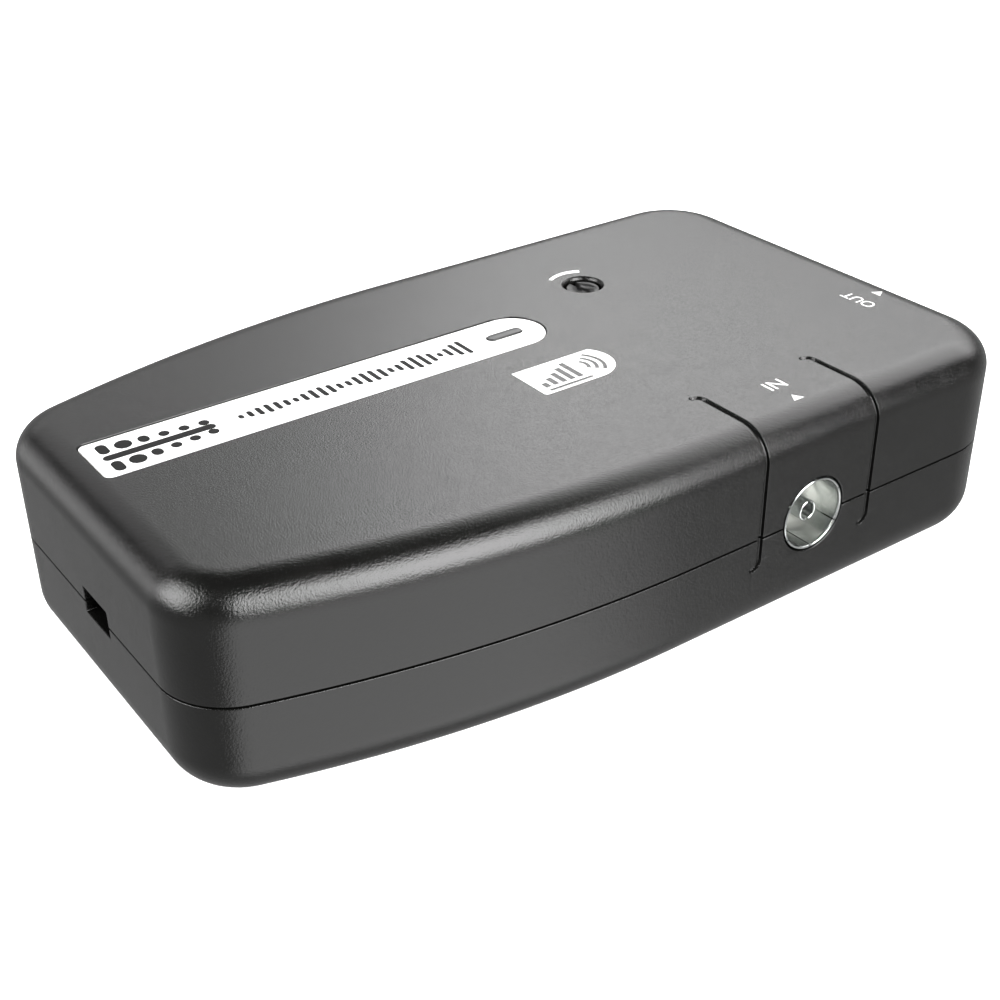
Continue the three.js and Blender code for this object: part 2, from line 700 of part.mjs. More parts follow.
for (let i = 0; i < 4; i++) {
  booster.add(
    piece("rectifier_diode_" + (i + 1), diode(i), black),
    piece("case_screw_" + (i + 1), caseScrew(CASE_POSTS[i]), steel),
    piece("board_screw_" + (i + 1), boardScrew(BOARD_POSTS[i]), steel),
  );
}

export default booster;
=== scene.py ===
import json
import math

import bmesh
import bpy
from mathutils import Matrix, Vector


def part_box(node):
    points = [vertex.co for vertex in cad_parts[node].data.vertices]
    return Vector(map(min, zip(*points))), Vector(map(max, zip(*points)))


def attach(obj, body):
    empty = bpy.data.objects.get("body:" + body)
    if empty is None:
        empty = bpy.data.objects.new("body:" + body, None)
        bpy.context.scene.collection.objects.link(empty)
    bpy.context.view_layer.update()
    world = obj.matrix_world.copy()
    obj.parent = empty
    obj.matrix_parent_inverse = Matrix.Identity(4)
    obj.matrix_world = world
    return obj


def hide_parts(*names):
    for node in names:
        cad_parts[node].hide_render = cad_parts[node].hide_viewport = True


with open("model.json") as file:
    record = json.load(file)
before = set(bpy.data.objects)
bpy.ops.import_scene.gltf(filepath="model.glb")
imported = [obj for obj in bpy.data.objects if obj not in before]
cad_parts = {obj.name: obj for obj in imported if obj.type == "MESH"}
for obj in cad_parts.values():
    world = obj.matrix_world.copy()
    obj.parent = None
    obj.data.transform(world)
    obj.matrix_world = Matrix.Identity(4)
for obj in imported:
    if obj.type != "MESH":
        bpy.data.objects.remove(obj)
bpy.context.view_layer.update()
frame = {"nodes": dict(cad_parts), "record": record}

MM = 0.001

# ---- design sizes in millimetres, the same as the CAD model's ----------------------------------
LENGTH, WIDTH, HEIGHT = [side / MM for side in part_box("upper_shell")[1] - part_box("lower_shell")[0]]
TAPER_START = 1.2                # the long sides curve inwards from here towards -X
TAPER_RADIUS = 193.5
NARROW_CORNER = 9.8
WIDE_CORNER = 11.4
TOP_ROUND_OUT = 5.2              # the top edge's rounding, measured inwards and upwards
TOP_ROUND_RISE = 4.8
ROUND_START = HEIGHT - TOP_ROUND_RISE
BASE_ROUND = 6.1
WALL = 2.2
CLEARANCE = 0.3                  # air in the seam and above the tongue
UPPER_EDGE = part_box("upper_shell")[0].z / MM
LOWER_EDGE = UPPER_EDGE - CLEARANCE
REBATE_INSET = 1.2
TONGUE_INSET = 1.5
TONGUE_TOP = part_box("lower_shell")[1].z / MM
TOP_Z = HEIGHT - 0.03            # the face sits just low enough for its print to stay in the CAD box
EDGE = 0.1                       # rounding of the shells' seam edges

SOCKET_Z = 15.1
INPUT_X = 22.6
OUTPUT_Y = -14.3
SOCKET_HOLE_R = 5.45

CHANNEL_HALF = 0.5               # half the groove's width
CHANNEL_BEVEL = 0.16             # width of each of its sloping sides
CHANNEL_DEPTH = 0.45
CHANNEL_HOOK = 1.1               # radius of the quarter turn towards -X at each end
CHANNEL_SPREAD = 9.975
CHANNEL_SHIFT = 0.45             # each groove runs this far towards +X from the middle of its channel
CHANNEL_TOP_Y = -23 - CHANNEL_HALF - CHANNEL_HOOK      # where the upper turn starts
CHANNEL_LOW_Z = 9.9 + CHANNEL_HALF + CHANNEL_HOOK      # where the lower turn starts

PLATE_LEFT, PLATE_RIGHT, PLATE_Y, PLATE_WIDTH = -57.2, 10.4, 7.35, 9.6
LENS_X, LENS_LENGTH, LENS_WIDTH = 4.35, 5.7, 1.6
GAIN_X, GAIN_Y = 24.1, 14.5
INLET_Y, INLET_Z, INLET_WIDTH, INLET_HEIGHT = -1.3, 15.05, 7.2, 3.9
CASE_POSTS = [(-52, 21.5), (-52, -21.5), (53, 27), (53, -27)]
SCREW_WELL_R = 3.1
SCREW_WELL_DEPTH = 5
LABEL_X, LABEL_LENGTH, LABEL_WIDTH = -8, 56, 28
LABEL_FACE = 0.05
LABEL_RECESS = 0.6
PLATE_RECESS = 0.5
THROUGH = 4                      # depth of a cut that passes right through the wall
PRINT = 0.012                    # thickness of printed marks

BARREL_OUT_R, BARREL_IN_R, BARREL_DEPTH = 5.15, 4.8, 12
BARREL_SLITS, BARREL_SLIT_WIDTH, BARREL_SLIT_DEPTH = 6, 0.2, 8
CONTACT_OUT_R, CONTACT_IN_R, CONTACT_RECESS = 1.475, 1.15, 1
CONTACT_SLIT_WIDTH, CONTACT_SLIT_DEPTH = 0.44, 7
INSULATOR_FACE = 9

# ---- fineness of the meshes --------------------------------------------------------------------
QUARTER = math.pi / 2
SHARP = math.radians(32)         # edges sharper than this are not smoothed
CORNER_STEPS = 24
TAPER_STEPS = 40
FILLET_STEPS = 18
INNER_FILLET_STEPS = 5
SEAM_STEPS = 4
GROOVE_STEP = 0.06               # spacing of columns and rows across the grooves and round their turns
GROOVE_COLUMNS = range(-28, 10)  # from beyond the hook's tip to beyond the groove's +X side
GROOVE_ROWS = 29                 # from one step before a turn to beyond it
PLAIN_COLUMNS = {4, 7.5, 15.5, 18, 22.6, 27.2, 29.7, 37, 42, 47}
WIDE_END_ROWS = (-21.5, OUTPUT_Y, -7, 4, 15)
NARROW_END_ROWS = (8, 2.9, INLET_Y, -5.5, -12)
UPPER_WALL_ROW = 20
TOP_ROWS_BEFORE, TOP_ROWS_AFTER = [-29, -26.5], [-18]  # plain rows in front of and behind the turns
NEAR_SEAM, NEAR_ROUND, PAST_ROUND = 0.25, 0.4, 0.35    # how far from each rounding its first plain row is


# ---- mesh helpers ------------------------------------------------------------------------------
def shade_smooth(bm):
    """Smooth shading all over but for edges sharper than SHARP."""
    for face in bm.faces:
        face.smooth = True
    for edge in bm.edges:
        edge.smooth = edge.is_manifold and edge.calc_face_angle(0) < SHARP


def make_object(name, bm, material=None):
    """A smoothly shaded piece from a bmesh in millimetres."""
    bmesh.ops.recalc_face_normals(bm, faces=bm.faces)
    shade_smooth(bm)
    bmesh.ops.scale(bm, vec=(MM, MM, MM), verts=bm.verts)
    mesh = bpy.data.meshes.new(name)
    bm.to_mesh(mesh)
    bm.free()
    made = bpy.data.objects.new(name, mesh)
    bpy.context.scene.collection.objects.link(made)
    if material:
        mesh.materials.append(material)
    return made


def discard(helper):
    """Removes an object that was only needed while building, with its mesh."""
    mesh = helper.data
    bpy.data.objects.remove(helper)
    bpy.data.meshes.remove(mesh)


def bridge(bm, rows, closed=True):
    """Quads between neighbouring rows of equally many vertices, which are rings if closed."""
    for low, high in zip(rows, rows[1:]):
        for i in range(len(low) if closed else len(low) - 1):
            j = (i + 1) % len(low)
            bm.faces.new((low[i], low[j], high[j], high[i]))


def loft(rings):
    """A closed skin through rings of equally many points, with a flat cap on each end."""
    bm = bmesh.new()
    made = [[bm.verts.new(point) for point in ring] for ring in rings]
    bridge(bm, made)
    bm.faces.new(list(reversed(made[0])))
    bm.faces.new(made[-1])
    return bm


def turned(profile, steps=96):
    """A solid turned about Z from (radius, height) pairs that start and end on the axis or form a loop."""
    bm = bmesh.new()
    loop = profile[0][0] > 0
    angles = [2 * math.pi * i / steps for i in range(steps)]
    rings = []
    for radius, height in profile:
        turns = angles if radius else [0]
        rings.append([bm.verts.new((radius * math.cos(a), radius * math.sin(a), height)) for a in turns])
    pairs = list(zip(rings, rings[1:])) + ([(rings[-1], rings[0])] if loop else [])
    for low, high in pairs:
        for i in range(steps):
            j = (i + 1) % steps
            corners = [low[i % len(low)], low[j % len(low)], high[j % len(high)], high[i % len(high)]]
            unique = list(dict.fromkeys(corners))
            if len(unique) > 2:
                bm.faces.new(unique)
    return bm


def arc(x, y, radius, start, end, steps):
    """Points along an arc, both of its ends included."""
    angles = [start + (end - start) * i / steps for i in range(steps + 1)]
    return [(x + radius * math.cos(a), y + radius * math.sin(a)) for a in angles]


def obround(x, y, length, width, steps=20):
    """Outline of a slot along X with half-round ends."""
    radius = width / 2
    reach = length / 2 - radius
    return (arc(x + reach, y, radius, -QUARTER, QUARTER, steps)
            + arc(x - reach, y, radius, QUARTER, 3 * QUARTER, steps))


def rounded_box_outline(x, y, length, width, corner, steps=8):
    """Outline of a rectangle with round corners, centred at x, y."""
    points = []
    for i, (sx, sy) in enumerate([(1, 1), (-1, 1), (-1, -1), (1, -1)]):
        cx = x + sx * (length / 2 - corner)
        cy = y + sy * (width / 2 - corner)
        points += arc(cx, cy, corner, i * QUARTER, (i + 1) * QUARTER, steps)
    return points


def plate_outline(grow):
    """The nameplate's plan: a strip with a half-round end towards +X, grown outwards by `grow`."""
    radius = PLATE_WIDTH / 2
    corner = 1 + grow
    left = PLATE_LEFT + 1
    return (arc(PLATE_RIGHT - radius, PLATE_Y, radius + grow, -QUARTER, QUARTER, 40)
            + arc(left, PLATE_Y + radius - 1, corner, QUARTER, 2 * QUARTER, 8)
            + arc(left, PLATE_Y - radius + 1, corner, 2 * QUARTER, 3 * QUARTER, 8))


def at_height(points, z):
    """The flat outline as points in space."""
    return [(x, y, z) for x, y in points]


def swung(points, x, y, angle):
    """The outline turned by angle about its origin, then moved to x, y."""
    c, s = math.cos(angle), math.sin(angle)
    return [(x + u * c - v * s, y + u * s + v * c) for u, v in points]


def cut_away(target, cutters):
    """Cuts the cutters, bmeshes in millimetres, out of the target object."""
    tools = [make_object("cutter", bm) for bm in cutters]
    for tool in tools:
        boolean = target.modifiers.new("cut", "BOOLEAN")
        boolean.operation = "DIFFERENCE"
        boolean.solver = "EXACT"
        boolean.object = tool
    evaluated = target.evaluated_get(bpy.context.evaluated_depsgraph_get())
    result = bpy.data.meshes.new_from_object(evaluated)
    target.modifiers.clear()
    old = target.data
    target.data = result
    bpy.data.meshes.remove(old)
    for tool in tools:
        discard(tool)
    return target


def tidy_shading(target):
    """Welds what the cuts left apart and shades flat faces as flat."""
    bm = bmesh.new()
    bm.from_mesh(target.data)
    bmesh.ops.remove_doubles(bm, verts=bm.verts, dist=0.004 * MM)
    bmesh.ops.dissolve_degenerate(bm, edges=bm.edges, dist=0.002 * MM)
    shade_smooth(bm)
    bm.to_mesh(target.data)
    bm.free()
    weighted = target.modifiers.new("weighted", "WEIGHTED_NORMAL")
    weighted.keep_sharp = True
    weighted.weight = 100
    return target


# ---- the case ----------------------------------------------------------------------------------
def front_columns():
    """X positions of the case's straight part, close together across the two channels."""
    xs = {TAPER_START, LENGTH / 2 - WIDE_CORNER} | PLAIN_COLUMNS
    for side in (-1, 1):
        centre = INPUT_X + CHANNEL_SHIFT + side * CHANNEL_SPREAD
        xs |= {round(centre + i * GROOVE_STEP, 3) for i in GROOVE_COLUMNS}
    return sorted(xs)


def case_columns():
    """Points (x, y, normal x, normal y) round the case's plan, anticlockwise from the start of the
    front's straight part, with the number of that part's points and the index where the back's starts."""
    wide_x = LENGTH / 2 - WIDE_CORNER
    wide_y = WIDTH / 2 - WIDE_CORNER
    taper_y = WIDTH / 2 - TAPER_RADIUS
    narrow_x = NARROW_CORNER - LENGTH / 2
    narrow_y = taper_y + math.sqrt((TAPER_RADIUS - NARROW_CORNER) ** 2 - (narrow_x - TAPER_START) ** 2)
    meet = math.atan2(narrow_y - taper_y, narrow_x - TAPER_START)

    def bend(x, y, radius, start, end, steps):
        for i in range(1, steps + 1):
            a = start + (end - start) * i / steps
            columns.append((x + radius * math.cos(a), y + radius * math.sin(a), math.cos(a), math.sin(a)))

    xs = front_columns()
    columns = [(x, -WIDTH / 2, 0, -1) for x in xs]
    bend(wide_x, -wide_y, WIDE_CORNER, -QUARTER, 0, CORNER_STEPS)
    columns += [(LENGTH / 2, y, 1, 0) for y in (*WIDE_END_ROWS, wide_y)]
    bend(wide_x, wide_y, WIDE_CORNER, 0, QUARTER, CORNER_STEPS)
    back = len(columns) - 1
    columns += [(x, WIDTH / 2, 0, 1) for x in reversed(xs[:-1])]
    bend(TAPER_START, taper_y, TAPER_RADIUS, QUARTER, meet, TAPER_STEPS)
    bend(narrow_x, narrow_y, NARROW_CORNER, meet, 2 * QUARTER, CORNER_STEPS)
    columns += [(-LENGTH / 2, y, -1, 0) for y in (*NARROW_END_ROWS, -narrow_y)]
    bend(narrow_x, -narrow_y, NARROW_CORNER, 2 * QUARTER, 4 * QUARTER - meet, CORNER_STEPS)
    bend(TAPER_START, -taper_y, TAPER_RADIUS, 4 * QUARTER - meet, 3 * QUARTER, TAPER_STEPS)
    columns.pop()
    return columns, len(xs), back


def channel_depth(x, s, high):
    """Depth of the grooves below the surface at x, and s along the case's cross-section. Each groove runs
    straight up to high and ends at both ends in a quarter turn towards -X."""
    depth = 0
    beyond = max(CHANNEL_LOW_Z - s, s - high, 0)
    for side in (-1, 1):
        u = x - INPUT_X - CHANNEL_SHIFT - side * CHANNEL_SPREAD
        from_turn = u + CHANNEL_HOOK
        if beyond == 0:
            away = abs(u)
        elif from_turn > 0:
            away = abs(math.hypot(from_turn, beyond) - CHANNEL_HOOK)
        else:
            away = math.hypot(from_turn, beyond - CHANNEL_HOOK)
        t = min(max((CHANNEL_HALF - away) / CHANNEL_BEVEL, 0), 1)
        depth = max(depth, CHANNEL_DEPTH * t * t * (3 - 2 * t))
    return depth


def shell(outer, inner, top_rows=()):
    """A shell from its outer and inner rows of (inset, z, s, out, up). s is the place along the
    cross-section that the channels follow, or None, and out, up is the surface's normal there.
    top_rows are the y positions of further rows that carry the outer face on across the flat top."""
    columns, straight, back = case_columns()
    high = place_on_top(CHANNEL_TOP_Y)
    bm = bmesh.new()

    def ring(inset, z, s, out, up):
        made = []
        for i, (x, y, nx, ny) in enumerate(columns):
            depth = channel_depth(x, s, high) if s is not None and i < straight else 0
            reach = inset + depth * out
            made.append(bm.verts.new((x - nx * reach, y - ny * reach, z - depth * up)))
        return made

    outer_rings = [ring(*row) for row in outer]
    inner_rings = [ring(*row) for row in inner]
    bridge(bm, inner_rings[::-1] + outer_rings)
    bm.faces.new(inner_rings[-1])
    rim = outer_rings[-1]
    if not top_rows:
        bm.faces.new(rim)
        return bm

    lines = [rim[:straight]]
    for y in top_rows:
        s = place_on_top(y)
        lines.append([bm.verts.new((x, y, TOP_Z - channel_depth(x, s, high)))
                      for x, _, _, _ in columns[:straight]])
    lines.append(rim[back:back + straight][::-1])
    bridge(bm, lines, closed=False)
    bm.faces.new(rim[straight - 1:back + 1] + [line[-1] for line in reversed(lines[1:-1])])
    bm.faces.new(rim[back + straight - 1:] + [rim[0]] + [line[0] for line in lines[1:-1]])
    return bm


def plain(inset, z):
    """A row that the channels don't reach."""
    return inset, z, None, 0, 0


def fillet_points(out, rise, flat, steps=FILLET_STEPS):
    """(inset, height, normal out, normal up) round the top edge, from the wall at height `flat`."""
    points = []
    for i in range(steps + 1):
        a = QUARTER * i / steps
        out_part, up_part = math.cos(a) / out, math.sin(a) / rise
        size = math.hypot(out_part, up_part)
        points.append((out * (1 - math.cos(a)), flat + rise * math.sin(a), out_part / size, up_part / size))
    return points


def top_round():
    """Rows round the upper shell's top edge, each with its place along the cross-section."""
    rows = []
    s = ROUND_START
    before = (0, ROUND_START)
    for inset, z, out, up in fillet_points(TOP_ROUND_OUT, TOP_Z - ROUND_START, ROUND_START):
        s += math.hypot(inset - before[0], z - before[1])
        before = (inset, z)
        rows.append((inset, z, s, out, up))
    return rows


def place_on_top(y):
    """Distance along the cross-section from z = 0 up the front wall to the top face's line at y."""
    return top_round()[-1][2] + (y + WIDTH / 2 - TOP_ROUND_OUT)


def seam_round(edge, way):
    """Rows round a shell's seam edge at height `edge`, onto a wall that goes up (way 1) or down (-1)."""
    rows = []
    for i in range(SEAM_STEPS + 1):
        a = QUARTER * i / SEAM_STEPS
        rows.append((EDGE * (1 - math.sin(a)), edge + way * EDGE * (1 - math.cos(a)), edge, 1, 0))
    return rows


def upper_shell(material):
    """The top half of the case with all of its openings."""
    rounding = top_round()
    outer = [plain(REBATE_INSET, UPPER_EDGE)] + seam_round(UPPER_EDGE, 1)
    walls = (UPPER_EDGE + EDGE + NEAR_SEAM, UPPER_WALL_ROW, ROUND_START - NEAR_ROUND)
    outer += [(0, z, z, 1, 0) for z in walls]
    outer += rounding + [(TOP_ROUND_OUT + PAST_ROUND, TOP_Z, rounding[-1][2] + PAST_ROUND, 0, 1)]
    inner = [plain(inset, TONGUE_TOP + CLEARANCE) for inset in (REBATE_INSET, WALL)]
    for inset, z, _, _ in fillet_points(TOP_ROUND_OUT - WALL, TOP_ROUND_RISE - WALL, ROUND_START,
                                        INNER_FILLET_STEPS):
        inner.append(plain(inset + WALL, z))
    round_turn = [CHANNEL_TOP_Y - GROOVE_STEP + GROOVE_STEP * i for i in range(GROOVE_ROWS)]
    top_rows = TOP_ROWS_BEFORE + round_turn + TOP_ROWS_AFTER
    made = make_object("case_top", shell(outer, inner, top_rows), material)
    cut_away(made, [
        socket_cutter("input"), socket_cutter("output"), inlet_cutter(),
        recess_cutter(), lens_cutter(), adjuster_cutter(),
    ])
    return tidy_shading(made)


def lower_shell(material):
    """The bottom half of the case, with the tongue that the upper half sits on."""
    outer = [plain(TONGUE_INSET, TONGUE_TOP), plain(TONGUE_INSET, LOWER_EDGE)] + seam_round(LOWER_EDGE, -1)
    round_turn = [CHANNEL_LOW_Z + GROOVE_STEP - GROOVE_STEP * i for i in range(GROOVE_ROWS)]
    walls = [LOWER_EDGE - EDGE - NEAR_SEAM] + round_turn + [BASE_ROUND + NEAR_ROUND]
    outer += [(0, z, z, 1, 0) for z in walls]
    for inset, rise, _, _ in fillet_points(BASE_ROUND, BASE_ROUND, 0):
        outer.append(plain(inset, BASE_ROUND - rise))
    outer.append(plain(BASE_ROUND + PAST_ROUND, 0))
    inner = [plain(WALL, TONGUE_TOP)]
    for inset, rise, _, _ in fillet_points(BASE_ROUND - WALL, BASE_ROUND - WALL, 0, INNER_FILLET_STEPS):
        inner.append(plain(inset + WALL, BASE_ROUND - rise))
    made = make_object("case_base", shell(outer, inner), material)
    cut_away(made, [socket_cutter("input"), socket_cutter("output"), inlet_cutter(), label_cutter()]
             + [well_cutter(x, y) for x, y in CASE_POSTS])
    return tidy_shading(made)


def flared(radius, depth, edge=0.14):
    """A round cutter along -Z from the surface at z = 0, which leaves a rounded rim."""
    clear, steps = 0.4, 5
    profile = [(0, -depth), (radius, -depth), (radius, -edge)]
    for i in range(1, steps):
        a = QUARTER * (1 - i / steps)
        profile.append((radius + edge * (1 - math.sin(a)), -edge * (1 - math.cos(a))))
    profile += [(radius + edge + 1, clear), (0, clear)]
    return turned(profile)


def socket_cutter(which):
    """The hole in the wall round a socket's barrel."""
    bm = flared(SOCKET_HOLE_R, THROUGH)
    if which == "input":
        place = Matrix.Translation((INPUT_X, -WIDTH / 2, SOCKET_Z)) @ Matrix.Rotation(QUARTER, 4, "X")
    else:
        place = Matrix.Translation((LENGTH / 2, OUTPUT_Y, SOCKET_Z)) @ Matrix.Rotation(QUARTER, 4, "Y")
    bm.transform(place)
    return bm


def inlet_cutter():
    """The cable slot with a rounded mouth; each level is (growth of the outline, depth)."""
    corner = 0.25
    outlines = []
    for grow, depth in ((0.6, -0.4), (0.05, -0.01), (0.02, 0.04), (0, 0.12), (0, THROUGH)):
        outline = rounded_box_outline(0, 0, INLET_WIDTH + 2 * grow, INLET_HEIGHT + 2 * grow,
                                      corner + grow, 5)
        outlines.append([(depth - LENGTH / 2, INLET_Y + u, INLET_Z + v) for u, v in outline])
    return loft(outlines)


def recess_cutter():
    """The nameplate's recess with a rounded rim; each level is (growth of the outline, height)."""
    levels = [(0.6, TOP_Z + 0.4), (0.24, TOP_Z + 0.01), (0.21, TOP_Z - 0.03), (0.19, TOP_Z - 0.09),
              (0.19, HEIGHT - PLATE_RECESS)]
    return loft([at_height(plate_outline(grow), z) for grow, z in levels])


def lens_cutter():
    """The slot for the lens, through the nameplate and the wall."""
    gap = 0.3
    outline = obround(LENS_X, PLATE_Y, LENS_LENGTH + gap, LENS_WIDTH + gap)
    return loft([at_height(outline, z) for z in (HEIGHT + 1, HEIGHT - THROUGH)])


def adjuster_cutter():
    """The adjuster's hole with a chamfered mouth."""
    mouth, throat, chamfer, floor = 3.23, 2.85, 0.4, HEIGHT - THROUGH
    profile = [
        (0, floor), (throat, floor), (throat, TOP_Z - chamfer - 0.08), (throat + 0.02, TOP_Z - chamfer),
        (mouth - 0.05, TOP_Z - 0.04), (mouth + 0.01, TOP_Z - 0.005),
        (mouth + 0.8, TOP_Z + 0.3), (0, TOP_Z + 0.3),
    ]
    bm = turned(profile)
    bm.transform(Matrix.Translation((GAIN_X, GAIN_Y, 0)))
    return bm


def label_cutter():
    """The rating label's recess in the underside."""
    outline = rounded_box_outline(LABEL_X, 0, LABEL_LENGTH, LABEL_WIDTH, 2)
    return loft([at_height(outline, z) for z in (-1, LABEL_RECESS)])


def well_cutter(x, y):
    """A screw's well in the underside."""
    bm = flared(SCREW_WELL_R, SCREW_WELL_DEPTH, 0.2)
    bm.transform(Matrix.Translation((x, y, 0)) @ Matrix.Rotation(math.pi, 4, "X"))
    return bm


# ---- nameplate, print and lens -----------------------------------------------------------------
def slab(outline_at, low, high, edge):
    """A thin plate with its upper edge rounded; outline_at(grow) gives its outline."""
    steps = 3
    rings = [at_height(outline_at(0), low), at_height(outline_at(0), high - edge)]
    for i in range(1, steps + 1):
        a = QUARTER * i / steps
        rings.append(at_height(outline_at(-edge * (1 - math.cos(a))), high - edge * (1 - math.sin(a))))
    return loft(rings)


def nameplate(material):
    """The white strip, with the lens's slot through it."""
    low, high = [corner.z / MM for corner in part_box("nameplate")]
    strip = slab(lambda grow: plate_outline(grow + 0.04), low, high, 0.06)
    made = make_object("nameplate_strip", strip, material)
    return tidy_shading(cut_away(made, [lens_cutter()]))


def lens(material):
    """Light pipe: a head that shows, a flange under the case's wall and a stem down to the light."""
    low, high = [corner.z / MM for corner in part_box("led_lens")]
    head_low, flange_low, overlap = high - 2.6, high - 3.4, 0.01
    head = slab(lambda grow: obround(LENS_X, PLATE_Y, LENS_LENGTH + 2 * grow, LENS_WIDTH + 2 * grow),
                head_low, high, 0.12)
    flange_outline = obround(LENS_X, PLATE_Y, LENS_LENGTH + 2, LENS_WIDTH + 2)
    flange = loft([at_height(flange_outline, z) for z in (flange_low, head_low - overlap)])
    stem_outline = obround(LENS_X, PLATE_Y, LENS_LENGTH - 0.6, LENS_WIDTH)
    stem = loft([at_height(stem_outline, z) for z in (low, flange_low - overlap)])
    return make_object("light_pipe", joined_bmesh(head, flange, stem), material)


def joined_bmesh(first, *others):
    """Puts the other meshes into the first, as separate closed shells."""
    for other in others:
        mesh = bpy.data.meshes.new("join")
        other.to_mesh(mesh)
        other.free()
        first.from_mesh(mesh)
        bpy.data.meshes.remove(mesh)
    return first


def printed(name, outlines, low, material):
    """Flat print: each closed outline of (x, y) points becomes a thin raised film."""
    films = [loft([at_height(outline, low), at_height(outline, low + PRINT)]) for outline in outlines]
    return make_object(name, joined_bmesh(*films), material)


def bar(x, y, length, width, angle=0, steps=6):
    """Outline of a bar with round ends, centred at x, y and turned by `angle`."""
    return swung(obround(0, 0, length, width, steps), x, y, angle)


def band(x, y, radius, start, end, width_start, width_end, steps=28):
    """Outline of an arc-shaped band whose width changes evenly from one end to the other."""
    outer, inner = [], []
    for i in range(steps + 1):
        a = start + (end - start) * i / steps
        half = (width_start + (width_end - width_start) * i / steps) / 2
        outer.append((x + (radius + half) * math.cos(a), y + (radius + half) * math.sin(a)))
        inner.append((x + (radius - half) * math.cos(a), y + (radius - half) * math.sin(a)))
    return outer + inner[::-1]


def aerial_emblem():
    """A roof-aerial sign: a boom with pairs of rods that grow shorter, the second pair a fat dipole."""
    left, right, tall, short, pairs = -55.7, -40.6, 7.6, 3.4, 6
    gap, boom, rod, dipole, overhang = 0.45, 1.35, 1.45, 2.3, 0.95
    outlines = [bar((left + right) / 2, PLATE_Y, right - left, boom)]
    inner = boom / 2 + gap
    pitch = (right - left - 2 * overhang) / (pairs - 1)
    for i in range(pairs):
        x = left + overhang + i * pitch
        reach = (tall + (short - tall) * i / (pairs - 1)) / 2 - inner
        width = dipole if i == 1 else rod
        for side in (-1, 1):
            y = PLATE_Y + side * (inner + reach / 2)
            outlines.append(bar(x, y, max(reach, width), width, QUARTER))
    return outlines


def growing_wave():
    """A row of upright strokes whose heights swell in waves, weak at the left and strong at the right."""
    left, right, strokes, waves = -37.0, -2.6, 27, 4.5
    stroke, least, swell_first, swell_growth = 0.72, 1.1, 1.1, 2.2
    outlines = []
    for i in range(strokes):
        part = i / (strokes - 1)
        swell = abs(math.sin(part * waves * math.pi))
        height = least + (swell_first + swell_growth * part) * swell
        outlines.append(bar(left + (right - left) * part, PLATE_Y, height, stroke, QUARTER))
    return outlines


def badge_outline():
    """A label with a square left end and one large round end towards +X."""
    left, top, low, radius = -2.45, -3.7, -11.4, 4.6
    corner = 0.5
    x, y = 7, low + radius
    return (arc(x, y, radius, -QUARTER, math.asin((top - y) / radius), 32) + [(left, top)]
            + arc(left + corner, low + corner, corner, 2 * QUARTER, 3 * QUARTER, 6))


def badge(material):
    """White badge with rising signal bars, radio waves and a base line left clear in it."""
    bars, first_x, pitch, base = 5, -0.7, 1.35, -9.7
    bar_width, first_height, growth = 0.85, 1.3, 0.85
    wave_x, wave_y, first_radius, wave_gap = 5.9, -7.2, 1.6, 1.1
    half_turn, wave_width = 0.24 * math.pi, 0.55
    marks = []
    for i in range(bars):
        height = first_height + growth * i
        x = first_x + pitch * i
        marks.append(rounded_box_outline(x, base + height / 2, bar_width, height, 0.15, 3))
    for i in range(3):
        marks.append(band(wave_x, wave_y, first_radius + wave_gap * i, -half_turn, half_turn,
                          wave_width, wave_width))
    marks.append(bar(2.4, -10.55, 7.2, 0.5))
    made = printed("signal_badge", [badge_outline()], TOP_Z, material)
    return cut_away(made, [loft([at_height(mark, TOP_Z + side) for side in (-1, 1)]) for mark in marks])


def lettering(name, text, size, x, y, angle, material):
    """A generic word such as IN, flat on the top face and centred at x, y."""
    curve = bpy.data.curves.new(name, "FONT")
    curve.body = text
    curve.size = size
    curve.align_x = "CENTER"
    curve.align_y = "CENTER"
    curve.extrude = PRINT / 2
    letters = bpy.data.objects.new(name, curve)
    bpy.context.scene.collection.objects.link(letters)
    evaluated = letters.evaluated_get(bpy.context.evaluated_depsgraph_get())
    bm = bmesh.new()
    mesh = bpy.data.meshes.new_from_object(evaluated)
    bm.from_mesh(mesh)
    bpy.data.meshes.remove(mesh)
    bpy.data.objects.remove(letters)
    bpy.data.curves.remove(curve)
    bmesh.ops.remove_doubles(bm, verts=bm.verts, dist=1e-4)
    bm.transform(Matrix.Translation((x, y, TOP_Z + PRINT / 2)) @ Matrix.Rotation(angle, 4, "Z"))
    return make_object(name, bm, material)


def triangle(x, y, width, height, angle):
    """Outline of an arrowhead that points towards +Y before it is turned by `angle`."""
    corners = [(0, height / 2), (-width / 2, -height / 2), (width / 2, -height / 2)]
    return swung(corners, x, y, angle)


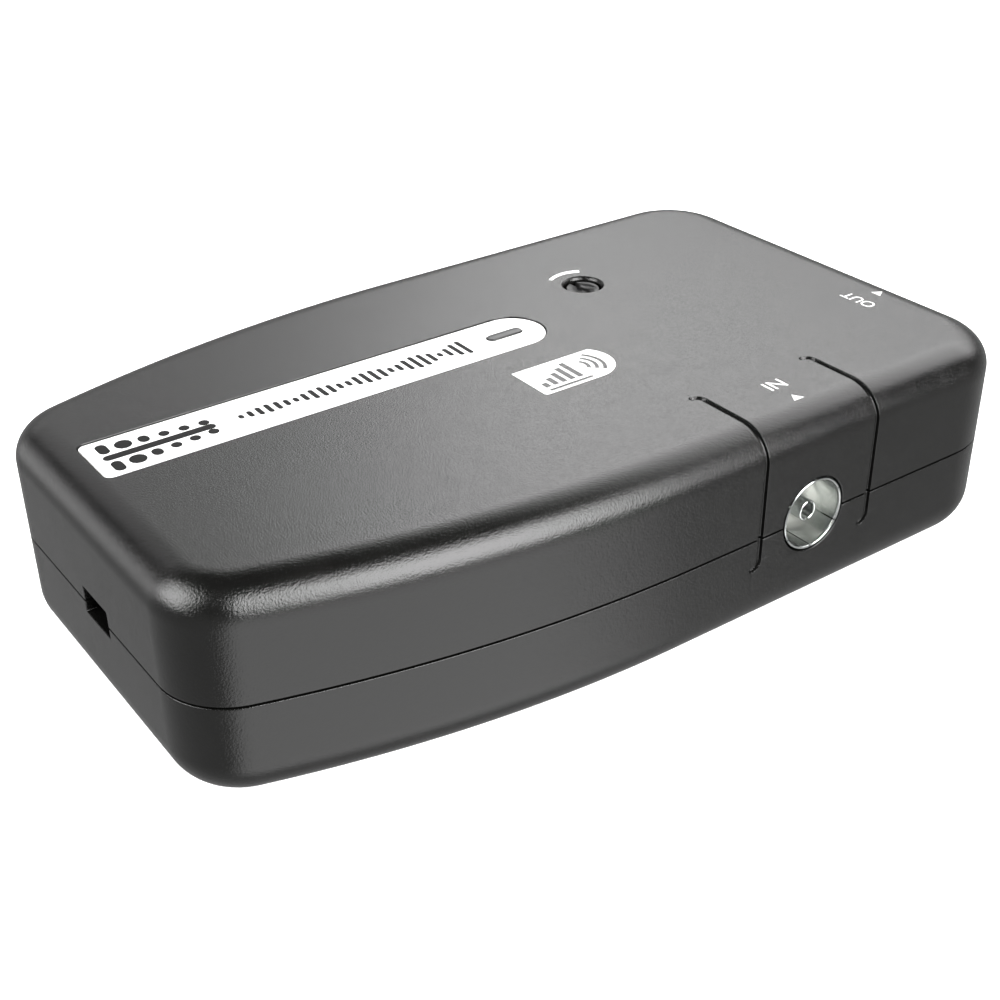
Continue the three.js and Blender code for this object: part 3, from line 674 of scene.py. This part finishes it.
# ---- gain adjuster -----------------------------------------------------------------------------
def spindle(material):
    """The adjuster: a stem, a collar under the case's wall and a head with an arrow-shaped slot."""
    low, face = [corner.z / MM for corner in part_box("gain_spindle")]
    stem_r, stem_top, body_r, collar_r, head_r, edge = 1.2, 17, 2, 3.6, 2.5, 0.15
    collar_top = HEIGHT - WALL - 0.3
    collar_low = collar_top - 2
    profile = [(0, low), (stem_r, low), (stem_r, stem_top), (body_r, stem_top), (body_r, collar_low),
               (collar_r, collar_low), (collar_r, collar_top), (head_r, collar_top)]
    profile += [(head_r - edge + u, face - edge + v) for u, v in arc(0, 0, edge, 0, QUARTER, 5)]
    profile.append((0, face))
    made = make_object("adjuster_spindle", turned(profile, 72), material)
    depth, slot, reach, head, tail, tip = 0.7, 0.55, 3, 1.5, -0.75, 1.85
    shoulder = tip - (tip - tail) / head * slot
    arrow = [(slot, -reach), (slot, tail), (head, tail), (slot, shoulder), (slot, reach),
             (-slot, reach), (-slot, shoulder), (-head, tail), (-slot, tail), (-slot, -reach)]
    cut_away(made, [loft([at_height(arrow, face - depth), at_height(arrow, face + 1)])])
    made.data.transform(Matrix.Translation((GAIN_X * MM, GAIN_Y * MM, 0)))
    return made


# ---- aerial sockets, made with the mouth at z = 0 and the depth towards +Z ----------------------
def placed(made, which):
    """Moves a socket's piece to where the input or the output socket is."""
    if which == "input":
        place = Matrix.Translation((INPUT_X, -WIDTH / 2, SOCKET_Z)) @ Matrix.Rotation(-QUARTER, 4, "X")
    else:
        place = (Matrix.Translation((LENGTH / 2, OUTPUT_Y, SOCKET_Z)) @ Matrix.Rotation(-QUARTER, 4, "Y")
                 @ Matrix.Rotation(QUARTER, 4, "Z"))
    for step in (Matrix.Scale(1 / MM, 4), place, Matrix.Scale(MM, 4)):
        made.data.transform(step)
    return made


def slit_cutter(left, right, half, low, high):
    """A square-cornered block from left to right along X, `half` to each side along Y."""
    corners = [(left, -half), (right, -half), (right, half), (left, half)]
    return loft([at_height(corners, z) for z in (low, high)])


def barrel(which, material):
    """Spring-cut outer sleeve with a bell-shaped inner rim and a collar behind the wall."""
    lip, flare, mouth_edge = 0.3, 0.16, 0.06
    collar_r, collar_near, collar_far = 6.5, WALL + 0.4, 4.2
    profile = [(BARREL_OUT_R - mouth_edge, 0), (BARREL_OUT_R, mouth_edge),
               (BARREL_OUT_R, collar_near), (collar_r, collar_near),
               (collar_r, collar_far), (BARREL_OUT_R, collar_far),
               (BARREL_OUT_R, BARREL_DEPTH), (BARREL_IN_R, BARREL_DEPTH), (BARREL_IN_R, lip + 0.25)]
    profile += [(BARREL_IN_R + flare - flare * math.cos(a), lip - lip * math.sin(a))
                for a in (0.3, 0.65, 1.0, 1.3)]
    profile.append((BARREL_OUT_R - 0.14, 0))
    made = make_object(which + "_socket_barrel", turned(profile, 120), material)
    cutters = []
    for i in range(BARREL_SLITS):
        slit = slit_cutter(4.2, 6, BARREL_SLIT_WIDTH / 2, -1, BARREL_SLIT_DEPTH)
        slit.transform(Matrix.Rotation((i + 0.5) * 2 * math.pi / BARREL_SLITS, 4, "Z"))
        cutters.append(slit)
    return placed(tidy_shading(cut_away(made, cutters)), which)


def contact(which, material):
    """Split centre contact: a tube with a rounded lip and a tail down to the circuit board."""
    tube = (CONTACT_OUT_R - CONTACT_IN_R) / 2
    middle = (CONTACT_OUT_R + CONTACT_IN_R) / 2
    bore_end, end, lip_steps = 8, BARREL_DEPTH + 1.4, 8
    profile = [(0, bore_end), (CONTACT_IN_R, bore_end)]
    profile += [(middle - tube * math.cos(a), CONTACT_RECESS + tube - tube * math.sin(a))
                for a in [math.pi * i / lip_steps for i in range(lip_steps + 1)]]
    profile += [(CONTACT_OUT_R, end), (0, end)]
    made = make_object(which + "_socket_pin_sleeve", turned(profile, 64), material)
    half = CONTACT_SLIT_WIDTH / 2
    cut_away(made, [slit_cutter(-half, half, 2, 0, CONTACT_SLIT_DEPTH)])
    tail_end = SOCKET_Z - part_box(which + "_socket_contact")[0].z / MM
    tail_section = rounded_box_outline(0, BARREL_DEPTH + 0.8, 1.2, 0.8, 0.12, 3)
    tail = make_object("tail", loft([[(u, y, v) for u, v in tail_section] for y in (tail_end, 0.5)]))
    merged = bmesh.new()
    merged.from_mesh(made.data)
    merged.from_mesh(tail.data)
    merged.to_mesh(made.data)
    merged.free()
    discard(tail)
    return placed(tidy_shading(made), which)


def insulator(which, material):
    """Moulded disc that holds the contact, with a raised ring round it."""
    inner, out, face = CONTACT_OUT_R + 0.3, BARREL_IN_R - 0.3, INSULATOR_FACE
    ring, groove = face + 0.5, face + 0.15
    profile = [(inner, face), (inner + 0.7, face), (inner + 0.9, ring), (out - 0.8, ring),
               (out - 0.6, groove), (out - 0.1, groove), (out, face + 0.25),
               (out, BARREL_DEPTH), (inner, BARREL_DEPTH)]
    return placed(make_object(which + "_socket_disc", turned(profile, 72), material), which)


# ---- screws ------------------------------------------------------------------------------------
def screw(name, node, head_r, head_rise, material, head_up):
    """Pan-head screw with a cross recess and a threaded shank, filling the CAD screw's box. It is made
    with its head at z = 0 and its shank towards +Z."""
    low, high = [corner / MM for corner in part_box(node)]
    x, y = (low.x + high.x) / 2, (low.y + high.y) / 2
    length = high.z - low.z
    edge, neck, tip = 0.5, 0.6, 0.8
    core, crest, pitch = 0.42 * head_r, 0.5 * head_r, 0.9
    profile = [(0, 0)]
    profile += [(head_r - edge + u, edge + v) for u, v in arc(0, 0, edge, -QUARTER, 0, 6)]
    profile += [(head_r, head_rise), (core, head_rise)]
    z = head_rise + neck
    while z + pitch < length - 1:
        profile += [(core, z), (crest, z + 0.3), (crest, z + 0.4), (core, z + 0.7)]
        z += pitch
    profile += [(core, length - tip), (0.2 * head_r, length), (0, length)]
    made = make_object(name, turned(profile, 32), material)
    mouth, point, width = 0.62 * head_r, 0.3 * head_r, 0.3 * head_r
    cutters = []
    for angle in (0, QUARTER):
        cross = loft([at_height(rounded_box_outline(0, 0, 2 * reach, width, 0.1, 3), z)
                      for reach, z in ((mouth, -0.5), (mouth, 0), (point, 0.6 * head_rise))])
        turned_differently = 0.4 * x
        cross.transform(Matrix.Rotation(angle + turned_differently, 4, "Z"))
        cutters.append(cross)
    cut_away(made, cutters)
    turn = Matrix.Rotation(math.pi, 4, "X") if head_up else Matrix.Identity(4)
    head_z = high.z if head_up else low.z
    made.data.transform(Matrix.Translation((x * MM, y * MM, head_z * MM)) @ turn)
    return tidy_shading(made)


# ---- rating label ------------------------------------------------------------------------------
def rating_label(material):
    """The label in its recess in the underside."""
    low, high = [corner.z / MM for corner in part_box("rating_label")]
    length, width = LABEL_LENGTH - 0.2, LABEL_WIDTH - 0.2

    def outline(grow):
        return rounded_box_outline(LABEL_X, 0, length + 2 * grow, width + 2 * grow, 2 + grow)

    bm = slab(outline, 0, high - low, 0.05)
    bm.transform(Matrix.Translation((0, 0, high)) @ Matrix.Rotation(math.pi, 4, "X"))
    return make_object("base_label", bm, material)


def label_print(material):
    """A frame line, a double square and plain bars, printed on the label; nothing on it can be read."""
    margin, line, corner = 2, 0.3, 0.1
    half_x, half_y = LABEL_LENGTH / 2 - margin, LABEL_WIDTH / 2 - margin
    bar_start, bar_top, bar_pitch, bar_width = LABEL_X - half_x + 3, 7.5, 4.6, 1.5
    square_x, square_y, square_line = LABEL_X + half_x - 7, 4.5, 0.5
    boxes = []
    for side in (-1, 1):
        boxes.append((LABEL_X, side * half_y, 2 * half_x + line, line))
        boxes.append((LABEL_X + side * half_x, 0, line, 2 * half_y - 2 * line))
    for size in (6.4, 3.6):
        for side in (-1, 1):
            boxes.append((square_x, square_y + side * size / 2, size + square_line, square_line))
            boxes.append((square_x + side * size / 2, square_y, square_line, size - 0.6))
    outlines = [rounded_box_outline(*box, corner, 2) for box in boxes]
    for i, length in enumerate((30, 24, 27, 18)):
        outlines.append(bar(bar_start + length / 2, bar_top - bar_pitch * i, length, bar_width))
    return printed("base_label_print", outlines, LABEL_FACE - PRINT, material)


# ---- materials ---------------------------------------------------------------------------------
PATCH_CELLS = 14                 # how many grains wide a finish's patches of colour and roughness are


def noise(nodes, links, cell, detail, stretch=(1, 1, 1)):
    """Noise that sticks to the object, of `cell` millimetres and squeezed by `stretch` along each axis."""
    place = nodes.new("ShaderNodeTexCoord")
    sized = nodes.new("ShaderNodeMapping")
    sized.inputs["Scale"].default_value = stretch
    texture = nodes.new("ShaderNodeTexNoise")
    texture.inputs["Scale"].default_value = 1 / (cell * MM)
    texture.inputs["Detail"].default_value = detail
    texture.inputs["Roughness"].default_value = 0.6
    links.new(place.outputs["Object"], sized.inputs["Vector"])
    links.new(sized.outputs["Vector"], texture.inputs["Vector"])
    return texture.outputs["Fac"]


def spread(nodes, links, value, low, high):
    """Noise stays mostly between 0.3 and 0.7; this stretches it to run from low to high."""
    made = nodes.new("ShaderNodeMapRange")
    made.inputs["From Min"].default_value = 0.3
    made.inputs["From Max"].default_value = 0.7
    made.inputs["To Min"].default_value = low
    made.inputs["To Max"].default_value = high
    links.new(value, made.inputs["Value"])
    return made.outputs["Result"]


def surface(name, colour, roughness, metallic=0, cell=0.3, depth=0.01, shade=0.1, uneven=0.05,
            stretch=(1, 1, 1), detail=3, specular=0.5):
    """A finish with a fine grain, cell wide and depth deep in millimetres. Its colour strays by the
    part `shade` and its roughness by `uneven`, in patches far wider than the grain."""
    made = bpy.data.materials.new(name)
    made.use_nodes = True
    nodes, links = made.node_tree.nodes, made.node_tree.links
    shader = nodes["Principled BSDF"]
    shader.inputs["Metallic"].default_value = metallic
    shader.inputs["Specular IOR Level"].default_value = specular
    grain = noise(nodes, links, cell, detail, stretch)
    patches = noise(nodes, links, cell * PATCH_CELLS, 3, stretch)
    tint = nodes.new("ShaderNodeMix")
    tint.data_type = "RGBA"
    dark, light, mixed = tint.inputs[6], tint.inputs[7], tint.outputs[2]
    dark.default_value = (*[part * (1 - shade) for part in colour], 1)
    light.default_value = (*[min(part * (1 + shade), 1) for part in colour], 1)
    blend = nodes.new("ShaderNodeMath")
    blend.operation = "MULTIPLY_ADD"
    blend.inputs[1].default_value = 0.5
    links.new(spread(nodes, links, patches, 0, 1), blend.inputs[0])
    links.new(spread(nodes, links, grain, 0, 0.5), blend.inputs[2])
    links.new(blend.outputs["Value"], tint.inputs[0])
    links.new(mixed, shader.inputs["Base Color"])
    worn = spread(nodes, links, patches, roughness - uneven, roughness + uneven)
    links.new(worn, shader.inputs["Roughness"])
    bump = nodes.new("ShaderNodeBump")
    bump.inputs["Distance"].default_value = depth * MM
    bump.inputs["Strength"].default_value = 1
    links.new(grain, bump.inputs["Height"])
    links.new(bump.outputs["Normal"], shader.inputs["Normal"])
    return made


# ---- camera, light and floor -------------------------------------------------------------------
CAMERA_PLACE = (-109.82, -151.72, 119.99)
CAMERA_ANGLES = (-35.413, 30.933, -0.658)      # azimuth, elevation and roll in degrees
CAMERA_LENS = 54.78


def camera():
    """The photo's view of the part."""
    azimuth, elevation, roll = [math.radians(angle) for angle in CAMERA_ANGLES]
    back = Vector((math.sin(azimuth) * math.cos(elevation), -math.cos(azimuth) * math.cos(elevation),
                   math.sin(elevation)))
    right = (-back).cross(Vector((0, 0, 1))).normalized()
    up = right.cross(-back)
    side = right * math.cos(roll) + up * math.sin(roll)
    top = up * math.cos(roll) - right * math.sin(roll)
    data = bpy.data.cameras.new("camera")
    data.lens = CAMERA_LENS
    data.sensor_width = 36
    data.clip_start = 0.005
    made = bpy.data.objects.new("camera", data)
    turn = Matrix((side, top, back)).transposed().to_4x4()
    made.matrix_world = Matrix.Translation(Vector(CAMERA_PLACE) * MM) @ turn
    bpy.context.scene.collection.objects.link(made)
    bpy.context.scene.camera = made
    return made


def softbox(name, azimuth, elevation, width, height, power, distance=0.9):
    """A rectangular light that faces the part and that the camera only sees reflected. Its azimuth runs
    from +Y towards +X; width, height and distance are in metres."""
    away, up = math.radians(azimuth), math.radians(elevation)
    way = Vector((math.sin(away) * math.cos(up), math.cos(away) * math.cos(up), math.sin(up)))
    data = bpy.data.lights.new(name, "AREA")
    data.shape = "RECTANGLE"
    data.size = width
    data.size_y = height
    data.energy = power
    made = bpy.data.objects.new(name, data)
    made.location = way * distance + Vector((0, 0, HEIGHT / 2 * MM))
    made.rotation_euler = way.to_track_quat("Z", "Y").to_euler()
    made.visible_camera = False
    bpy.context.scene.collection.objects.link(made)
    return made


def studio():
    """Large soft lights behind to the right, in front and to the left, two weaker ones behind, a glow as
    from the floor in front, and a room that is pale round the floor and dark overhead."""
    scene = bpy.context.scene
    scene.view_settings.view_transform = "Standard"
    softbox("back_softbox", 67.5, 39.5, 1.15, 0.62, 8.8)
    softbox("front_softbox", 171, 29, 0.75, 0.78, 21)
    softbox("left_softbox", -75, 32, 0.65, 0.65, 11.5)
    softbox("left_back_fill", -36, 6, 0.45, 0.4, 0.85)
    softbox("back_fill", 8, 30, 0.75, 0.5, 1.05)
    softbox("front_floor_glow", 181, -33, 1.05, 0.95, 5.3)
    world = bpy.data.worlds.new("studio")
    scene.world = world
    world.use_nodes = True
    nodes, links = world.node_tree.nodes, world.node_tree.links
    place = nodes.new("ShaderNodeTexCoord")
    split = nodes.new("ShaderNodeSeparateXYZ")
    links.new(place.outputs["Generated"], split.inputs["Vector"])
    fade = nodes.new("ShaderNodeMapRange")
    fade.interpolation_type = "SMOOTHSTEP"
    fade.inputs["From Min"].default_value = -0.2
    fade.inputs["From Max"].default_value = 0.5
    fade.inputs["To Min"].default_value = 0.42
    fade.inputs["To Max"].default_value = 0.06
    links.new(split.outputs["Z"], fade.inputs["Value"])
    links.new(fade.outputs["Result"], nodes["Background"].inputs["Strength"])
    nodes["Background"].inputs["Color"].default_value = (1, 1, 1, 1)


def seen_by_camera_only(piece):
    """Stages a piece so that it neither lights, shades nor shows in the part."""
    piece.visible_diffuse = False
    piece.visible_glossy = False
    piece.visible_transmission = False
    piece.visible_shadow = False


def paper_white(name, glow):
    """Matt white studio paper, lit evenly enough by itself that only a faint shadow shows on it."""
    made = surface(name, (0.8, 0.8, 0.8), 0.9, cell=2, depth=0, shade=0.01, uneven=0.02)
    shader = made.node_tree.nodes["Principled BSDF"]
    shader.inputs["Emission Color"].default_value = (1, 1, 1, 1)
    shader.inputs["Emission Strength"].default_value = glow
    return made


def floor_and_backdrop():
    """A pale floor just under the part, and a pale dome all round it."""
    reach, drop = 4000, 0.01
    bm = bmesh.new()
    for x, y in ((-reach, -reach), (reach, -reach), (reach, reach), (-reach, reach)):
        bm.verts.new((x, y, -drop))
    bm.faces.new(bm.verts)
    seen_by_camera_only(make_object("floor", bm, paper_white("floor_paper", 0.7)))
    bm = bmesh.new()
    bmesh.ops.create_uvsphere(bm, u_segments=32, v_segments=16, radius=reach)
    seen_by_camera_only(make_object("backdrop", bm, paper_white("backdrop_paper", 1.2)))


# ---- assembly ----------------------------------------------------------------------------------
camera()
studio()
floor_and_backdrop()

case_plastic = surface("case_plastic", (0.0033, 0.0033, 0.003), 0.2, cell=0.24, depth=0.05, shade=0.2,
                       uneven=0.025, detail=2)
white_print = surface("white_print", (0.85, 0.85, 0.84), 0.45, cell=0.1, depth=0.002, shade=0.03)
black_print = surface("black_print", (0.012, 0.012, 0.012), 0.55, cell=0.1, depth=0.002, shade=0.1,
                      specular=0.1)
plate_white = surface("plate_white", (0.88, 0.88, 0.87), 0.35, cell=0.5, depth=0.004, shade=0.015)
lens_grey = surface("lens_grey", (0.012, 0.012, 0.012), 0.3, cell=0.6, depth=0.004, shade=0.06)
spindle_plastic = surface("spindle_plastic", (0.006, 0.006, 0.0058), 0.42, cell=0.15, depth=0.012,
                          shade=0.15)
chrome = surface("plated_metal", (0.72, 0.74, 0.73), 0.2, 1, cell=0.5, depth=0.0006, shade=0.04)
cream = surface("insulator_cream", (0.72, 0.71, 0.67), 0.45, cell=0.3, depth=0.004, shade=0.05)
steel = surface("screw_steel", (0.45, 0.46, 0.47), 0.3, 1, cell=0.2, depth=0.003, shade=0.12, uneven=0.08)
paper = surface("label_paper", (0.55, 0.56, 0.56), 0.5, cell=0.15, depth=0.004, shade=0.04)

LAYERS = (1, 1, 40)              # stretches noise into layers stacked along Z
TURNS = (25, 1, 1)               # stretches noise into turns wound about X
INNER_FINISHES = {
    "board_green": surface("board_green", (0.016, 0.1, 0.04), 0.35, cell=0.8, depth=0.006, shade=0.2,
                           uneven=0.08),
    "tinned_steel": surface("tinned_steel", (0.5, 0.51, 0.5), 0.32, 1, cell=1.2, depth=0.004, shade=0.15,
                            uneven=0.1),
    "lamination_steel": surface("lamination_steel", (0.2, 0.2, 0.21), 0.4, 1, cell=12, depth=0.05,
                                shade=0.35, uneven=0.1, stretch=LAYERS),
    "winding_tape": surface("winding_tape", (0.6, 0.42, 0.06), 0.4, cell=3, depth=0.02, shade=0.12,
                            stretch=TURNS),
    "winding_copper": surface("winding_copper", (0.5, 0.2, 0.07), 0.3, 0.8, cell=6, depth=0.06,
                              shade=0.3, uneven=0.08, stretch=TURNS),
    "sleeve_blue": surface("sleeve_blue", (0.02, 0.06, 0.25), 0.25, cell=0.8, depth=0.004, shade=0.1),
    "ferrite": surface("ferrite", (0.03, 0.03, 0.032), 0.55, cell=0.25, depth=0.02, shade=0.25,
                       uneven=0.1),
    "component_black": surface("component_black", (0.02, 0.02, 0.021), 0.45, cell=0.2, depth=0.01,
                               shade=0.15),
    "led_clear": surface("led_clear", (0.5, 0.55, 0.5), 0.12, cell=0.8, depth=0.002, shade=0.05),
    "rotor_white": surface("rotor_white", (0.7, 0.69, 0.64), 0.4, cell=0.3, depth=0.006, shade=0.06),
    # the only node in sight with the label's slot is the mains fuse
    "label_paper": surface("fuse_body", (0.62, 0.6, 0.55), 0.35, cell=0.4, depth=0.004, shade=0.06),
}


def finish_inner_nodes():
    """Gives each CAD node that stays in sight the finish of its material slot."""
    for part in frame["record"]["subparts"]:
        node = frame["nodes"][part["node"]]
        finish = INNER_FINISHES.get(part["material_slot"])
        if finish and not node.hide_render:
            for place in node.material_slots:
                place.material = finish


def add(piece, slot, *nodes, body="root"):
    """Hides the CAD nodes that a finished piece stands for and attaches the piece to the body it moves
    with. slot is not used.
    """
    if nodes:
        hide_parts(*nodes)
    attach(piece, body)


add(upper_shell(case_plastic), "case_plastic", "upper_shell")
add(lower_shell(case_plastic), "case_plastic", "lower_shell")
add(nameplate(plate_white), "plate_white", "nameplate")
add(lens(lens_grey), "lens_grey", "led_lens")
add(spindle(spindle_plastic), "spindle_plastic", "gain_spindle", body="gain_adjuster")
add(rating_label(paper), "label_paper", "rating_label")
add(label_print(black_print), "component_black")

plate_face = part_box("nameplate")[1].z / MM
add(printed("aerial_emblem", aerial_emblem(), plate_face, black_print), "component_black")
add(printed("growing_wave", growing_wave(), plate_face, black_print), "component_black")
add(badge(white_print), "plate_white")
arrow_size = (1.75, 1.45)
gain_mark = band(GAIN_X, GAIN_Y, 5.1, math.radians(124), math.radians(58), 0.6, 0.95)
input_arrow = triangle(23.0, -31.05, *arrow_size, 0)
output_arrow = triangle(57.05, -14.4, *arrow_size, -QUARTER)
add(printed("top_marks", [gain_mark, input_arrow, output_arrow], TOP_Z, white_print), "plate_white")
add(lettering("input_word", "IN", 3.3, 23.3, -27.1, 0, white_print), "plate_white")
add(lettering("output_word", "OUT", 2.75, 52.8, -14.4, QUARTER, white_print), "plate_white")

for which in ("input", "output"):
    add(barrel(which, chrome), "plated_metal", which + "_socket_shell")
    add(contact(which, chrome), "plated_metal", which + "_socket_contact")
    add(insulator(which, cream), "insulator_cream", which + "_socket_insulator")
for i in range(1, 5):
    add(screw(f"case_fixing_{i}", f"case_screw_{i}", SCREW_WELL_R - 0.3, 2.2, steel, False),
        "screw_steel", f"case_screw_{i}")
    add(screw(f"board_fixing_{i}", f"board_screw_{i}", 2.5, 1.8, steel, True),
        "screw_steel", f"board_screw_{i}")

finish_inner_nodes()
